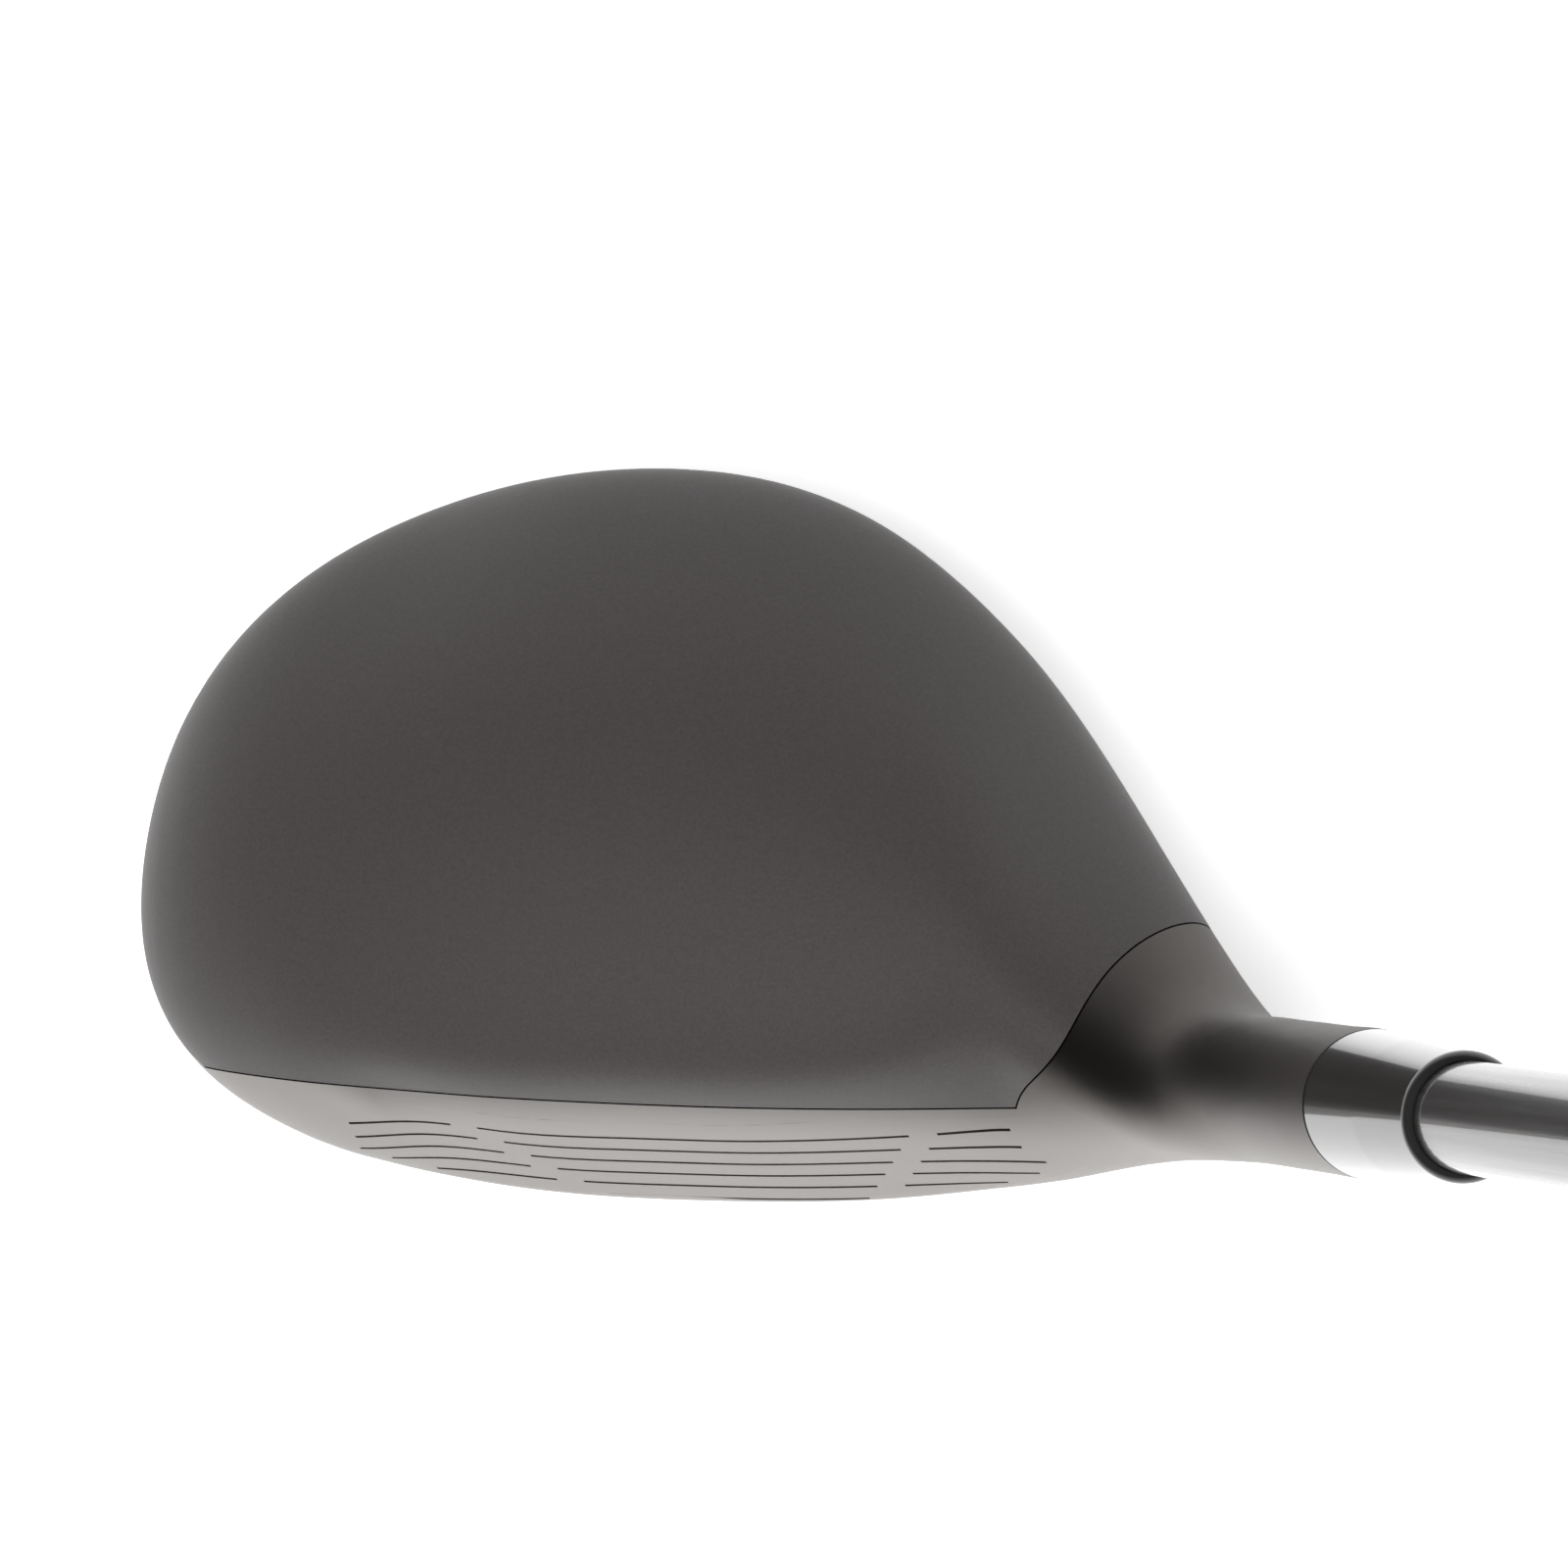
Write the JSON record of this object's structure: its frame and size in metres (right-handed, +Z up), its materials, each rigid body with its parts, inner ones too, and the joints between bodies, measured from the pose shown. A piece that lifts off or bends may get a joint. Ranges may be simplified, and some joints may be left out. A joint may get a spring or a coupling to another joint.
{
  "type": "fairway wood",
  "caption": "Compact golf fairway wood with a matte crown, grooved steel face, swept neck, ferrule, tapered composite shaft and rubber grip.",
  "frame": {"origin": "on the ground, in the flat rest pad of the sole, level with the middle of the face and 18 mm behind it", "axes": "+X toe to heel, +Y face to the back of the head, +Z up; the shaft axis lies in a plane of constant Y at the lie angle"},
  "size_m": [0.6554, 0.0678, 0.9102],
  "materials": {
    "cast_steel": "satin dark plated",
    "face_steel": "satin",
    "crown_paint": "matte paint over carbon composite",
    "adhesive": "cured epoxy",
    "screw_steel": "satin",
    "seal_rubber": "matte",
    "slug_metal": "sintered",
    "hot_melt": "soft glue",
    "ferrule_plastic": "gloss",
    "plug_plastic": "natural nylon",
    "shaft_lacquer": "clear lacquer over carbon composite",
    "tape_paper": "matte",
    "grip_rubber": "textured"
  },
  "bodies": {
    "root": {"head_body": "cast_steel", "face_plate": "face_steel", "crown_shell": "crown_paint", "crown_bond": "adhesive", "weight_port_cup": "cast_steel", "sole_weight_screw": "screw_steel", "weight_seal_ring": "seal_rubber", "balance_slug": "slug_metal", "hot_melt_pad": "hot_melt", "ferrule": "ferrule_plastic", "hosel_epoxy": "adhesive", "shaft_tip_plug": "plug_plastic", "shaft_tube": "shaft_lacquer", "grip_tape": "tape_paper", "grip_sleeve": "grip_rubber", "grip_end_cap": "grip_rubber"}
  },
  "joints": []
}
